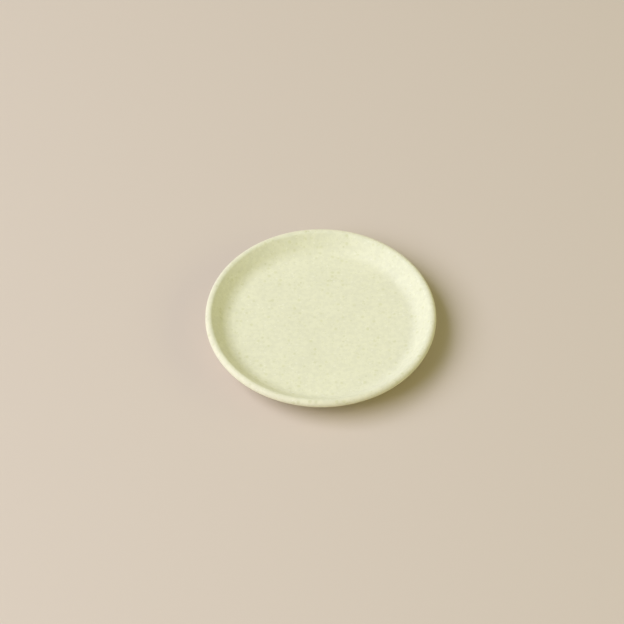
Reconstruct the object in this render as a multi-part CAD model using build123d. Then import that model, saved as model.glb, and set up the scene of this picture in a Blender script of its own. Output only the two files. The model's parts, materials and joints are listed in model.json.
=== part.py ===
from build123d import *
import math
import os

# Magnetic pin bowl: a shallow round dish with a flat floor and a flared wall, whose edge is
# a full round lip. It is moulded in flecked plant-fibre composite, thin over seven disc magnets,
# one in the middle and six round it, each in a socket moulded under the floor. They hold the
# pins. A steel keeper plate closes the sockets, and a cork pad is stuck over the plate, inside
# the foot ring. The pad stands a little proud of the ring, so that it grips the table.
# Millimetres and degrees. +Z is up. The origin is the centre of the pad's underside.

# Dish
bowl_radius = 50.0
dish_depth = 6.65
wall_angle = 46.0
wall_thickness = 3.4
floor_thickness = 2.2
floor_corner_radius = 6.4

# Foot ring, which stands inside the round under the wall and tapers towards its rim
foot_land = 1.2
foot_taper = 0.6
foot_width = 2.4
foot_chamfer = 0.4

# Magnets, their glue and the sockets that hold them
ring_magnets = 6
magnet_radius = 6.0
magnet_thickness = 2.0
magnet_chamfer = 0.25
magnet_clearance = 0.1
glue_thickness = 0.1
glue_inset = 1.0
skin_over_magnets = 1.5
socket_wall = 1.2
socket_to_ledge = 2.4
web_thickness = 1.2

# Keeper plate, sheet adhesive and cork pad, stacked inside the foot ring
ledge_width = 1.5
keeper_thickness = 0.6
keeper_clearance = 0.3
adhesive_thickness = 0.15
pad_thickness = 2.0
pad_clearance = 0.4
pad_proud = 0.3

# Heights, from the table up
adhesive_z = pad_thickness
keeper_z = adhesive_z + adhesive_thickness
socket_rim_z = keeper_z + keeper_thickness
magnet_top_z = socket_rim_z + magnet_thickness
socket_roof_z = magnet_top_z + glue_thickness
floor_z = socket_roof_z + skin_over_magnets
underside_z = floor_z - floor_thickness
lip_top_z = floor_z + dish_depth

# The lip is the wall's own edge, rounded over from face to face
slope = math.radians(wall_angle)
lip_radius = wall_thickness / 2
lip_x = bowl_radius - lip_radius
lip_z = lip_top_z - lip_radius


def wall_x(height, depth):
    """The radius, at a height, of the slanted line that lies a depth under the wall's inner face."""
    rise = (height - lip_z) * math.cos(slope)
    return lip_x + (rise + depth - lip_radius) / math.sin(slope)


# A round of radius 1 in either corner of the wall runs this far along each side
corner_run = math.tan(slope / 2)

# Radii, from the wall inwards
under_wall_radius = floor_corner_radius + wall_thickness
under_wall_x = wall_x(underside_z, wall_thickness)
foot_root_x = under_wall_x - under_wall_radius * corner_run - foot_land
foot_x = foot_root_x - foot_taper
recess_x = foot_x - foot_width
ledge_x = recess_x - ledge_width
socket_radius = magnet_radius + magnet_clearance
boss_radius = socket_radius + socket_wall
ring_x = ledge_x - socket_to_ledge - boss_radius
keeper_radius = recess_x - keeper_clearance
pad_radius = recess_x - pad_clearance


def magnet_places():
    """The middle of each magnet, as (x, y): the centre one first, then the ring."""
    step = 2 * math.pi / ring_magnets
    ring = [(ring_x * math.cos(n * step), ring_x * math.sin(n * step)) for n in range(ring_magnets)]
    return [(0, 0)] + ring


def disc(radius, bottom, thickness, place=(0, 0)):
    """A flat disc that stands on the height called bottom."""
    x, y = place
    low_end = (Align.CENTER, Align.CENTER, Align.MIN)
    return Pos(x, y, bottom) * Cylinder(radius, thickness, align=low_end)


def corner_of(face, x, z):
    """The corner of a section that lies nearest a radius and height."""
    return face.vertices().sort_by_distance(Vector(x, z))[0]


def shell_section():
    """Half of the dish's section, as (radius, height): floor, flared wall and round lip."""
    across, up = lip_radius * math.sin(slope), lip_radius * math.cos(slope)
    wall_top = (lip_x - across, lip_z + up)
    lip_end = (lip_x + across, lip_z - up)
    floor_corner = (wall_x(floor_z, 0), floor_z)
    under_wall = (under_wall_x, underside_z)

    sides = Polyline(wall_top, floor_corner, (0, floor_z), (0, underside_z), under_wall, lip_end)
    lip = ThreePointArc(lip_end, (bowl_radius, lip_z), wall_top)
    face = make_face([*sides.edges(), lip])
    face = fillet(corner_of(face, *floor_corner), floor_corner_radius)
    return fillet(corner_of(face, *under_wall), under_wall_radius)


def foot_section():
    """Half of the foot ring's section, with the ledge that the keeper plate rests on."""
    ring = Polyline(
        (ledge_x, underside_z),
        (ledge_x, socket_rim_z),
        (recess_x, socket_rim_z),
        (recess_x, pad_proud),
        (foot_x, pad_proud),
        (foot_root_x, underside_z),
        close=True,
    )
    face = make_face(ring)
    rim = [corner_of(face, x, pad_proud) for x in (recess_x, foot_x)]
    return chamfer(rim, foot_chamfer)


def bowl():
    """The moulded dish with its foot ring, its magnet sockets and the webs between them."""
    body = revolve(Plane.XZ * (shell_section() + foot_section()), Axis.Z)

    boss_height = underside_z - socket_rim_z
    web_length = ledge_x + ledge_width / 2
    inner_end = (Align.MIN, Align.CENTER, Align.MIN)
    for n in range(ring_magnets):
        web = Pos(0, 0, socket_rim_z) * Box(web_length, web_thickness, boss_height, align=inner_end)
        body += Rot(0, 0, n * 360 / ring_magnets) * web
    for place in magnet_places():
        body += disc(boss_radius, socket_rim_z, boss_height, place)
    for place in magnet_places():
        body -= disc(socket_radius, socket_rim_z, socket_roof_z - socket_rim_z, place)
    return body


def magnet(place):
    """One plated disc magnet with its edges bevelled."""
    blank = disc(magnet_radius, socket_rim_z, magnet_thickness, place)
    return chamfer(blank.edges().filter_by(GeomType.CIRCLE), magnet_chamfer)


def glue_dab(place):
    """The thin dab of glue between one magnet and the roof of its socket."""
    return disc(magnet_radius - glue_inset, magnet_top_z, glue_thickness, place)


centre_place, *ring_places = magnet_places()
parts = {
    "bowl": bowl(),
    "magnet_centre": magnet(centre_place),
    "glue_dab_centre": glue_dab(centre_place),
    "keeper_plate": disc(keeper_radius, keeper_z, keeper_thickness),
    "pad_adhesive": disc(pad_radius, adhesive_z, adhesive_thickness),
    "base_pad": disc(pad_radius, 0, pad_thickness),
}
for number, place in enumerate(ring_places, start=1):
    parts[f"magnet_ring_{number}"] = magnet(place)
    parts[f"glue_dab_ring_{number}"] = glue_dab(place)

os.makedirs("parts", exist_ok=True)
for name, shape in parts.items():
    export_step(shape, f"parts/{name}.step")
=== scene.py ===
import json
import math

import bpy
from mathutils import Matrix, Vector, noise


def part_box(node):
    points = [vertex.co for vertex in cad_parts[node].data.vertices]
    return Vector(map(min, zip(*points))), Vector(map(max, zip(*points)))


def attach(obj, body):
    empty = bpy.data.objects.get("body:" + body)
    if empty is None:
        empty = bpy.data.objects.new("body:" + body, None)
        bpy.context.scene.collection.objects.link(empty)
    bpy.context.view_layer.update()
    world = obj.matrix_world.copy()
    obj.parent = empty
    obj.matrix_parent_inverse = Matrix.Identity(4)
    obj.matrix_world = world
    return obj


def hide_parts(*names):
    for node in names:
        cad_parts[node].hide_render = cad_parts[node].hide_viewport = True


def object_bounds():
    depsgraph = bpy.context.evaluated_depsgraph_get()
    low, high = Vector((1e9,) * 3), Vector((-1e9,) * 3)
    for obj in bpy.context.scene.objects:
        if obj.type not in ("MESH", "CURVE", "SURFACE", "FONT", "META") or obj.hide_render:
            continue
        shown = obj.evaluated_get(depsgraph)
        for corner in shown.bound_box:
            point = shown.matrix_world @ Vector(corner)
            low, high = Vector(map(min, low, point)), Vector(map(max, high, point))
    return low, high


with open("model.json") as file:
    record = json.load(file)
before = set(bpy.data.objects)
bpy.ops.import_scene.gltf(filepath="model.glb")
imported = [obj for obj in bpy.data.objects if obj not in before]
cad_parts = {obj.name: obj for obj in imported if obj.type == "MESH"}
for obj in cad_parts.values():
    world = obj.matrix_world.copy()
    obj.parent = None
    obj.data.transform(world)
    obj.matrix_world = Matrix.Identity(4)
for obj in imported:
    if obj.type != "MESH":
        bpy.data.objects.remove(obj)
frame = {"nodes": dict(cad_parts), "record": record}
cad_low, cad_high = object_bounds()

MM = 0.001

# The photograph is IMAGE_PX square. The outline of the dish's lip, about RIM_DROP under its top,
# is an ellipse there that is centred on RIM_PX. The camera is DISTANCE metres from its middle.
IMAGE_PX = 624
FOCAL_PX = 3870
RIM_PX = (320.8, 316.1)
ELEVATION = math.radians(49.7)
DISTANCE = 1.675
SENSOR_MM = 36
RIM_DROP = 1.4 * MM

# A large soft lamp on the left, a weak one on the right, and an even sky. The key is cool and the
# rest is warm. Their shares of the plain light on a level surface add up to just under 1.
COOL = (0.985, 1.0, 1.266)
WARM = (1.022, 1.0, 0.55)
LAMPS = {
    "key": {"azimuth": 195, "elevation": 46, "size": (2.0, 1.4), "share": 0.61, "colour": COOL},
    "fill": {"azimuth": 350, "elevation": 28, "size": (2.0, 0.8), "share": 0.07, "colour": WARM},
}
LAMP_DISTANCE = 2.0
LAMP_STEPS = 8
SKY_SHARE = 0.29

# The floor fades into an even backdrop of its own colour between two distances from the object
FLOOR_COLOUR = (0.672, 0.582, 0.470, 1)
FLOOR_ROUGHNESS = 0.9
FLOOR_REACH = 6
FADE_START, FADE_END = 0.3, 1.1

# Nearly all of a cloudy noise lies between these two values
CLOUDY = (0.3, 0.7)

# The composite, and a painted highlight on its lip, which makes the whole lip a little paler. The
# highlight's colour comes in between two distances inside the dish's outermost edge.
BOWL_COLOUR = (0.831, 0.824, 0.592, 1)
LIP_HIGHLIGHT_COLOUR = (0.846, 0.823, 0.593, 1)
LIP_HIGHLIGHT_START, LIP_HIGHLIGHT_END = 2.2 * MM, 1.2 * MM

# Its colour is clouded and mottled by gains, and its roughness varies in patches of sheen. Its
# relief is a fine grain with some of the mottle.
CLOUD_SIZE, CLOUD_GAIN = 11 * MM, (0.985, 1.01)
MOTTLE_SIZE, MOTTLE_SPAN, MOTTLE_GAIN = 2.0 * MM, (0.35, 0.65), (1.0, 0.947)
SHEEN_SIZE, SHEEN_ROUGHNESS = 6 * MM, (0.56, 0.66)
DIFFUSE_ROUGHNESS = 0.4
GRAIN_SIZE, RELIEF_DEPTH, RELIEF_MOTTLE = 0.5 * MM, 0.025 * MM, 0.6

# Layers of grains: spacing, largest radius, share of cells, soft edge, colour and strength. The
# smallest radius in a layer is a part of the largest.
SMALLEST_GRAIN = 0.4
GRAINS = (
    (1.0 * MM, 0.4 * MM, 0.7, 0.5, (0.62, 0.63, 0.28, 1), 0.25),
    (2.3 * MM, 1.15 * MM, 0.6, 0.7, (0.63, 0.63, 0.30, 1), 0.34),
    (3.1 * MM, 0.6 * MM, 0.3, 0.5, (0.51, 0.51, 0.20, 1), 0.28),
    (9.5 * MM, 0.6 * MM, 0.3, 0.35, (0.30, 0.27, 0.15, 1), 0.45),
    (1.5 * MM, 0.6 * MM, 0.5, 0.5, (0.97, 0.96, 0.80, 1), 0.3),
)

# Short fibres, which are grains that are stretched along a few level directions, in degrees
FIBRE_DIRECTIONS = (20, 80, 140)
FIBRE_STRETCH = 5
FIBRE = {"spacing": 1.5 * MM, "radius": 0.17 * MM, "share": 0.12, "edge": 0.5}
FIBRE_COLOUR = (0.47, 0.46, 0.20, 1)
FIBRE_STRENGTH = 0.2

# The foot is scuffed in spots up to one height, and less and less up to another
SCUFF_FULL, SCUFF_NONE = 0.3 * MM, 0.9 * MM
SCUFF_SIZE, SCUFF_SPAN = 1.3 * MM, (0.42, 0.62)
SCUFF_COLOUR = (0.52, 0.50, 0.40, 1)
SCUFF_STRENGTH, SCUFF_ROUGHNESS = 0.35, 0.25

# Cork granules: their size in the pattern and in the mesh, and how far seams and lost granules
# lie back in the mesh. Seam and pit widths are shares of a granule.
CORK_SIZE = 1.6 * MM
GRANULE = 1.7 * MM
SEAM_WIDTH, SEAM_DEPTH = 0.25, 0.05 * MM
PIT_WIDTH, PIT_DEPTH = 0.55, 0.16 * MM
LOST_ABOVE = 0.93


class Shader:
    """A node material, with short calls for the nodes that the looks here are made of."""

    def __init__(self, name):
        self.material = bpy.data.materials.new(name)
        self.material.use_nodes = True
        self.tree = self.material.node_tree
        self.surface = self.tree.nodes["Principled BSDF"]
        self.place = self.node("ShaderNodeTexCoord").outputs["Object"]

    def node(self, kind, **settings):
        made = self.tree.nodes.new(kind)
        for name, value in settings.items():
            setattr(made, name, value)
        return made

    def plug(self, socket, value):
        """Link a socket to an output, or set it to a constant."""
        if isinstance(value, bpy.types.NodeSocket):
            self.tree.links.new(value, socket)
        else:
            socket.default_value = value

    def set(self, **values):
        """Plug values into the surface shader, named as its sockets are, with _ for a space."""
        for name, value in values.items():
            self.plug(self.surface.inputs[name.replace("_", " ")], value)

    def math(self, operation, first, second=0.0):
        made = self.node("ShaderNodeMath", operation=operation)
        self.plug(made.inputs[0], first)
        self.plug(made.inputs[1], second)
        return made.outputs[0]

    def times(self, first, second):
        return self.math("MULTIPLY", first, second)

    def fit(self, value, span, result=(0.0, 1.0)):
        """Ease a value from one range to another, held at both ends."""
        made = self.node("ShaderNodeMapRange", interpolation_type="SMOOTHSTEP")
        self.plug(made.inputs["Value"], value)
        for name, number in zip(("From Min", "From Max", "To Min", "To Max"), (*span, *result)):
            self.plug(made.inputs[name], number)
        return made.outputs["Result"]

    def mix(self, share, first, second):
        made = self.node("ShaderNodeMix", data_type="RGBA")
        self.plug(made.inputs["Factor"], share)
        self.plug(made.inputs["A"], first)
        self.plug(made.inputs["B"], second)
        return made.outputs["Result"]

    def tint(self, colour, mask, over, strength):
        """Lay a colour over another where a mask is, at a strength."""
        return self.mix(self.times(mask, strength), colour, over)

    def scaled(self, colour, gain):
        made = self.node("ShaderNodeVectorMath", operation="SCALE")
        self.plug(made.inputs["Vector"], colour)
        self.plug(made.inputs["Scale"], gain)
        return made.outputs["Vector"]

    def axis_distance(self):
        """The distance from the object's upright axis, in metres."""
        level = self.node("ShaderNodeVectorMath", operation="MULTIPLY")
        self.plug(level.inputs[0], self.place)
        self.plug(level.inputs[1], (1, 1, 0))
        made = self.node("ShaderNodeVectorMath", operation="LENGTH")
        self.plug(made.inputs[0], level.outputs["Vector"])
        return made.outputs["Value"]

    def shifted(self, offset, turn=(0, 0, 0), stretch=(1, 1, 1)):
        """The place on the object, for a pattern that is moved, then turned, then stretched. The
        offsets are arbitrary, and only keep two patterns from lining up."""
        made = self.node("ShaderNodeMapping", vector_type="TEXTURE")
        self.plug(made.inputs["Vector"], self.place)
        self.plug(made.inputs["Location"], offset)
        self.plug(made.inputs["Rotation"], turn)
        self.plug(made.inputs["Scale"], stretch)
        return made.outputs["Vector"]

    def brushed(self, stretch, turn=0.0):
        """The place on the object, for a pattern that is drawn out along one level direction."""
        return self.shifted((0, 0, 0), (0, 0, turn), (stretch, 1, 1))

    def warped(self, size, reach):
        """The place on the object, pushed about by noise of a size, within a reach."""
        swirl = self.node("ShaderNodeTexNoise")
        self.plug(swirl.inputs["Vector"], self.place)
        self.plug(swirl.inputs["Scale"], 1 / size)
        pushed = self.node("ShaderNodeVectorMath", operation="MULTIPLY_ADD")
        self.plug(pushed.inputs[0], swirl.outputs["Color"])
        self.plug(pushed.inputs[1], (reach, reach, reach))
        self.plug(pushed.inputs[2], self.place)
        return pushed.outputs[0]

    def noise(self, size, detail=2.0, place=None):
        """Cloudy noise from 0 to 1, with patches of about a size in metres."""
        made = self.node("ShaderNodeTexNoise")
        self.plug(made.inputs["Vector"], place or self.place)
        self.plug(made.inputs["Scale"], 1 / size)
        self.plug(made.inputs["Detail"], detail)
        return made.outputs["Fac"]

    def cells(self, size, place=None, feature="F1"):
        """A scatter of points about a size apart in metres, as its texture node."""
        made = self.node("ShaderNodeTexVoronoi", feature=feature)
        self.plug(made.inputs["Vector"], place or self.place)
        self.plug(made.inputs["Scale"], 1 / size)
        return made

    def channels(self, colour):
        """The three channels of a colour, such as the random one that each cell has."""
        made = self.node("ShaderNodeSeparateColor")
        self.plug(made.inputs[0], colour)
        return made.outputs

    def flecks(self, spacing, radius, share, place=None, edge=0.25):
        """A mask of grains in the bulk: a share of all the cells has one, each of its own size.
        Each fades out over a part of its radius called edge."""
        scatter = self.cells(spacing, place)
        pick = self.channels(scatter.outputs["Color"])
        largest = radius / spacing
        reach = self.fit(pick[1], (0.0, 1.0), (SMALLEST_GRAIN * largest, largest))
        near = self.math("SUBTRACT", reach, scatter.outputs["Distance"])
        grain = self.fit(near, (0.0, edge * largest))
        return self.times(grain, self.math("LESS_THAN", pick[0], share))

    def bump(self, height, depth):
        """Relief from a height between 0 and 1, of a depth in metres."""
        made = self.node("ShaderNodeBump")
        self.plug(made.inputs["Height"], height)
        self.plug(made.inputs["Distance"], depth)
        self.set(Normal=made.outputs["Normal"])


def fleck_composite():
    """Matte moulded composite: clouded, with plant flecks and short fibres, a painted highlight
    round the rim and a scuffed foot."""
    look = Shader("fleck_composite")
    # Painted highlight: the lip is made paler all round, between two distances from the axis
    lip_highlight = look.fit(look.axis_distance(), (cad_high.x - LIP_HIGHLIGHT_START, cad_high.x - LIP_HIGHLIGHT_END))
    cloud = look.fit(look.noise(CLOUD_SIZE, detail=3.0), CLOUDY, CLOUD_GAIN)
    mottle = look.noise(MOTTLE_SIZE, detail=4.0, place=look.shifted((0.13, 0.07, 0.02)))
    patches = look.times(cloud, look.fit(mottle, MOTTLE_SPAN, MOTTLE_GAIN))
    colour = look.scaled(look.mix(lip_highlight, BOWL_COLOUR, LIP_HIGHLIGHT_COLOUR), patches)

    for number, (spacing, radius, share, edge, tint, strength) in enumerate(GRAINS):
        place = look.shifted((0.31 * number, 0.17, 0.05 * number))
        mask = look.flecks(spacing, radius, share, place, edge)
        colour = look.tint(colour, mask, tint, strength)

    for number, degrees in enumerate(FIBRE_DIRECTIONS):
        turn = (0, 0, math.radians(degrees))
        place = look.shifted((0.11 * number, 0.23, 0.4), turn, (1, FIBRE_STRETCH, 1))
        colour = look.tint(colour, look.flecks(**FIBRE, place=place), FIBRE_COLOUR, FIBRE_STRENGTH)

    height = look.node("ShaderNodeSeparateXYZ")
    look.plug(height.inputs[0], look.place)
    rubbed = look.fit(height.outputs["Z"], (SCUFF_FULL, SCUFF_NONE), (1.0, 0.0))
    scuff = look.times(rubbed, look.fit(look.noise(SCUFF_SIZE, detail=5.0), SCUFF_SPAN))
    colour = look.tint(colour, scuff, SCUFF_COLOUR, SCUFF_STRENGTH)

    sheen = look.noise(SHEEN_SIZE, detail=4.0, place=look.shifted((0.2, 0.5, 0.1)))
    roughness = look.fit(sheen, CLOUDY, SHEEN_ROUGHNESS)
    roughness = look.math("ADD", roughness, look.times(scuff, SCUFF_ROUGHNESS))
    look.set(Base_Color=colour, Roughness=roughness, Diffuse_Roughness=DIFFUSE_ROUGHNESS)
    grain = look.noise(GRAIN_SIZE, detail=3.0, place=look.shifted((0.4, 0.1, 0.3)))
    look.bump(look.math("ADD", grain, look.times(mottle, RELIEF_MOTTLE)), RELIEF_DEPTH)
    return look.material


def cork():
    """Fine agglomerated cork: pressed granules in browns, some of bark, with grit in them and
    seams between them that come and go."""
    dark, light, bark = (0.36, 0.20, 0.095, 1), (0.58, 0.39, 0.22, 1), (0.15, 0.075, 0.038, 1)
    grit_tint, seam_tint = (0.24, 0.13, 0.062, 1), (0.10, 0.05, 0.025, 1)
    look = Shader("cork")
    place = look.warped(size=0.9 * MM, reach=1.1 * MM)
    granules = look.cells(CORK_SIZE, place)
    edges = look.cells(CORK_SIZE, place, "DISTANCE_TO_EDGE").outputs["Distance"]
    tone = look.channels(granules.outputs["Color"])
    colour = look.mix(tone[0], dark, light)
    colour = look.mix(look.fit(tone[1], (0.88, 0.92)), colour, bark)
    grit = look.noise(0.35 * MM, detail=4.0)
    colour = look.mix(look.fit(grit, (0.45, 0.75), (0.0, 0.5)), colour, grit_tint)
    fading = look.noise(1.3 * MM, detail=3.0, place=look.shifted((0.3, 0.2, 0.1)))
    seams = look.fit(edges, (0.0, 0.1), (0.7, 0.0))
    seams = look.times(seams, look.fit(fading, (0.4, 0.6), (0.15, 1.0)))
    colour = look.mix(seams, colour, seam_tint)
    look.set(Base_Color=colour, Roughness=look.fit(grit, CLOUDY, (0.78, 0.92)))
    look.bump(look.math("SUBTRACT", look.times(grit, 0.5), seams), depth=0.1 * MM)
    return look.material


def plated_magnet():
    """Bright nickel plating with faint polish marks and small dull spots."""
    nickel, pale_nickel, dull = (0.63, 0.61, 0.57, 1), (0.72, 0.70, 0.66, 1), (0.42, 0.40, 0.36, 1)
    look = Shader("plated_magnet")
    marks = look.noise(2 * MM, detail=4.0, place=look.brushed(stretch=12, turn=0.3))
    spots = look.flecks(spacing=1.4 * MM, radius=0.3 * MM, share=0.3)
    colour = look.mix(look.fit(marks, CLOUDY), nickel, pale_nickel)
    colour = look.tint(colour, spots, dull, strength=0.4)
    look.set(Base_Color=colour, Metallic=1.0, Roughness=look.fit(marks, (0.25, 0.75), (0.16, 0.3)))
    look.bump(marks, depth=0.004 * MM)
    return look.material


def keeper_steel():
    """Zinc-plated sheet steel: brushed one way, with cloudy spangle."""
    zinc, pale_zinc, scratch = (0.50, 0.51, 0.52, 1), (0.60, 0.61, 0.61, 1), (0.38, 0.38, 0.38, 1)
    look = Shader("keeper_steel")
    brush = look.noise(1.1 * MM, detail=5.0, place=look.brushed(stretch=16))
    spangle = look.channels(look.cells(4 * MM).outputs["Color"])[0]
    colour = look.mix(spangle, zinc, pale_zinc)
    colour = look.mix(look.fit(brush, (0.45, 0.75), (0.0, 0.4)), colour, scratch)
    look.set(Base_Color=colour, Metallic=1.0, Roughness=look.fit(brush, CLOUDY, (0.32, 0.48)))
    look.bump(brush, depth=0.006 * MM)
    return look.material


def clear_glue():
    """A cured dab of clear glue, slightly yellow, with small bubbles."""
    yellow, pale, bubble = (0.78, 0.73, 0.56, 1), (0.86, 0.83, 0.70, 1), (0.95, 0.94, 0.90, 1)
    look = Shader("clear_glue")
    bubbles = look.flecks(spacing=0.8 * MM, radius=0.2 * MM, share=0.5)
    haze = look.noise(1.5 * MM, detail=3.0)
    colour = look.mix(look.fit(haze, CLOUDY), yellow, pale)
    colour = look.tint(colour, bubbles, bubble, strength=0.5)
    roughness = look.fit(haze, CLOUDY, (0.12, 0.25))
    look.set(Base_Color=colour, Roughness=roughness, Transmission_Weight=0.4)
    look.bump(bubbles, depth=0.02 * MM)
    return look.material


def adhesive_sheet():
    """Acrylic transfer adhesive on tissue: off-white, with a faint fibre web."""
    dark, pale, thread = (0.66, 0.62, 0.50, 1), (0.72, 0.69, 0.58, 1), (0.82, 0.80, 0.72, 1)
    look = Shader("adhesive_sheet")
    web = look.noise(0.9 * MM, detail=5.0, place=look.brushed(stretch=4, turn=0.6))
    cloud = look.noise(5 * MM, detail=3.0)
    colour = look.mix(look.fit(cloud, CLOUDY), dark, pale)
    colour = look.mix(look.fit(web, (0.55, 0.75), (0.0, 0.5)), colour, thread)
    look.set(Base_Color=colour, Roughness=look.fit(web, CLOUDY, (0.4, 0.6)))
    look.bump(web, depth=0.02 * MM)
    return look.material


def pad_pit(point):
    """How far the cork's surface lies back at a point: seams between granules and lost granules."""
    gaps, centres = noise.voronoi(point / GRANULE)
    seam = max(0.0, 1.0 - (gaps[1] - gaps[0]) / SEAM_WIDTH)
    lost = noise.cell(centres[0]) > LOST_ABOVE
    pit = max(0.0, 1.0 - (gaps[0] / PIT_WIDTH) ** 2) if lost else 0.0
    return SEAM_DEPTH * seam + PIT_DEPTH * pit


def cork_disc(material):
    """The cork pad: a die-cut disc whose rubbed underside and edge show the granules."""
    low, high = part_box("base_pad")
    radius = high[0]
    thickness = high[2] - low[2]
    ease = 0.25 * MM
    rings, edge_steps, side_steps, around = 84, 4, 4, 320

    # The profile, as (radius, height), from the underside's middle out, up the edge and back
    flat = radius - ease
    profile = [(flat * n / rings, 0.0) for n in range(1, rings + 1)]
    for n in range(1, edge_steps + 1):
        angle = math.pi / 2 * n / edge_steps
        profile.append((flat + ease * math.sin(angle), ease * (1 - math.cos(angle))))
    for n in range(1, side_steps + 1):
        profile.append((radius, ease + (thickness - ease) * n / side_steps))
    profile.append((radius / 2, thickness))

    # The underside's pits go up, and the edge's go inwards. The hidden top is level.
    vertices = [Vector((0, 0, 0))]
    for reach, height in profile:
        for n in range(around):
            angle = 2 * math.pi * n / around
            spot = Vector((reach * math.cos(angle), reach * math.sin(angle), height))
            pit = pad_pit(spot) if height < thickness else 0.0
            if reach <= flat:
                spot.z += pit
            else:
                spot -= Vector((math.cos(angle), math.sin(angle), 0)) * pit
            vertices.append(spot)
    vertices.append(Vector((0, 0, thickness)))

    faces = [(0, 1 + (n + 1) % around, 1 + n) for n in range(around)]
    for ring in range(len(profile) - 1):
        inner, outer = 1 + ring * around, 1 + (ring + 1) * around
        for n in range(around):
            after = (n + 1) % around
            faces.append((inner + n, inner + after, outer + after, outer + n))
    last, top = 1 + (len(profile) - 1) * around, len(vertices) - 1
    faces += [(last + n, last + (n + 1) % around, top) for n in range(around)]

    mesh = bpy.data.meshes.new("cork_disc")
    mesh.from_pydata(vertices, [], faces)
    mesh.materials.append(material)
    mesh.shade_smooth()
    disc = bpy.data.objects.new("cork_disc", mesh)
    bpy.context.scene.collection.objects.link(disc)
    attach(disc, "root")
    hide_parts("base_pad")


def make_camera():
    """A camera at the photograph's angle, aimed so that the rim's centre falls on its pixel."""
    data = bpy.data.cameras.new("camera")
    data.sensor_width = SENSOR_MM
    data.lens = FOCAL_PX * SENSOR_MM / IMAGE_PX
    camera = bpy.data.objects.new("camera", data)
    bpy.context.scene.collection.objects.link(camera)
    rim_centre = Vector((0, 0, cad_high.z - RIM_DROP))
    back = Vector((0, -math.cos(ELEVATION), math.sin(ELEVATION)))
    up = Vector((0, math.sin(ELEVATION), math.cos(ELEVATION)))
    right = Vector((1, 0, 0))
    metres_per_px = DISTANCE / FOCAL_PX
    half = IMAGE_PX / 2
    aim = rim_centre - right * (RIM_PX[0] - half) * metres_per_px
    aim += up * (RIM_PX[1] - half) * metres_per_px
    camera.location = rim_centre + back * DISTANCE
    camera.rotation_euler = (camera.location - aim).to_track_quat("Z", "Y").to_euler()
    bpy.context.scene.camera = camera


def make_lamp(name, azimuth, elevation, size, share, colour):
    """An area lamp that gives a level surface at the origin a share of the plain light. What
    reaches it from each watt is summed over a grid of spots on the lamp."""
    turn, rise = math.radians(azimuth), math.radians(elevation)
    level = math.cos(rise)
    direction = Vector((math.cos(turn) * level, math.sin(turn) * level, math.sin(rise)))
    facing = direction.to_track_quat("Z", "Y")
    steps = [(n + 0.5) / LAMP_STEPS - 0.5 for n in range(LAMP_STEPS)]
    reach = 0.0
    for across in steps:
        for up in steps:
            spot = direction * LAMP_DISTANCE + facing @ Vector((across * size[0], up * size[1], 0))
            reach += spot.normalized().dot(direction) * spot.normalized().z / spot.length_squared
    lamp = bpy.data.lights.new(name, "AREA")
    lamp.shape = "RECTANGLE"
    lamp.size, lamp.size_y = size
    lamp.color = colour
    lamp.energy = share * math.pi ** 2 * LAMP_STEPS ** 2 / reach
    holder = bpy.data.objects.new(name, lamp)
    holder.location = direction * LAMP_DISTANCE
    holder.rotation_euler = facing.to_euler()
    bpy.context.scene.collection.objects.link(holder)


def show_backdrop(tree, share=1.0):
    """Put a share of the plain backdrop in place of a surface or sky, where it is seen rather than
    where it gives light: by the camera, and in glossy and clear surfaces."""
    output = next(node for node in tree.nodes if node.type.startswith("OUTPUT"))
    lit = output.inputs["Surface"].links[0].from_socket
    rays = tree.nodes.new("ShaderNodeLightPath")
    seen = rays.outputs["Is Camera Ray"]
    for kind in ("Is Glossy Ray", "Is Transmission Ray"):
        either = tree.nodes.new("ShaderNodeMath")
        either.operation = "MAXIMUM"
        tree.links.new(seen, either.inputs[0])
        tree.links.new(rays.outputs[kind], either.inputs[1])
        seen = either.outputs[0]
    part = tree.nodes.new("ShaderNodeMath")
    part.operation = "MULTIPLY"
    tree.links.new(seen, part.inputs[0])
    if isinstance(share, bpy.types.NodeSocket):
        tree.links.new(share, part.inputs[1])
    else:
        part.inputs[1].default_value = share
    plain = tree.nodes.new("ShaderNodeEmission")
    plain.inputs["Color"].default_value = FLOOR_COLOUR
    both = tree.nodes.new("ShaderNodeMixShader")
    for socket, source in zip(both.inputs, (part.outputs[0], lit, plain.outputs[0])):
        tree.links.new(source, socket)
    tree.links.new(both.outputs[0], output.inputs["Surface"])


def make_sky():
    world = bpy.data.worlds.new("studio")
    world.use_nodes = True
    background = world.node_tree.nodes["Background"]
    background.inputs["Strength"].default_value = SKY_SHARE
    background.inputs["Color"].default_value = (*WARM, 1)
    show_backdrop(world.node_tree)
    bpy.context.scene.world = world


def make_floor():
    corners = [(x * FLOOR_REACH, y * FLOOR_REACH, 0) for x, y in ((-1, -1), (1, -1), (1, 1), (-1, 1))]
    mesh = bpy.data.meshes.new("floor")
    mesh.from_pydata(corners, [], [(0, 1, 2, 3)])
    look = Shader("floor")
    look.set(Base_Color=FLOOR_COLOUR, Roughness=FLOOR_ROUGHNESS)
    show_backdrop(look.tree, look.fit(look.axis_distance(), (FADE_START, FADE_END)))
    look.material.cycles.emission_sampling = "NONE"
    mesh.materials.append(look.material)
    floor = bpy.data.objects.new("floor", mesh)
    bpy.context.scene.collection.objects.link(floor)


make_camera()
for name, settings in LAMPS.items():
    make_lamp(name, **settings)
make_sky()
make_floor()

looks = {
    "fleck_composite": fleck_composite(),
    "plated_magnet": plated_magnet(),
    "clear_glue": clear_glue(),
    "keeper_steel": keeper_steel(),
    "adhesive_sheet": adhesive_sheet(),
    "cork": cork(),
}
for part in frame["record"]["subparts"]:
    mesh = frame["nodes"][part["node"]].data
    for index in range(len(mesh.materials)):
        mesh.materials[index] = looks[part["material_slot"]]
cork_disc(looks["cork"])

bpy.context.scene.view_settings.view_transform = "Standard"
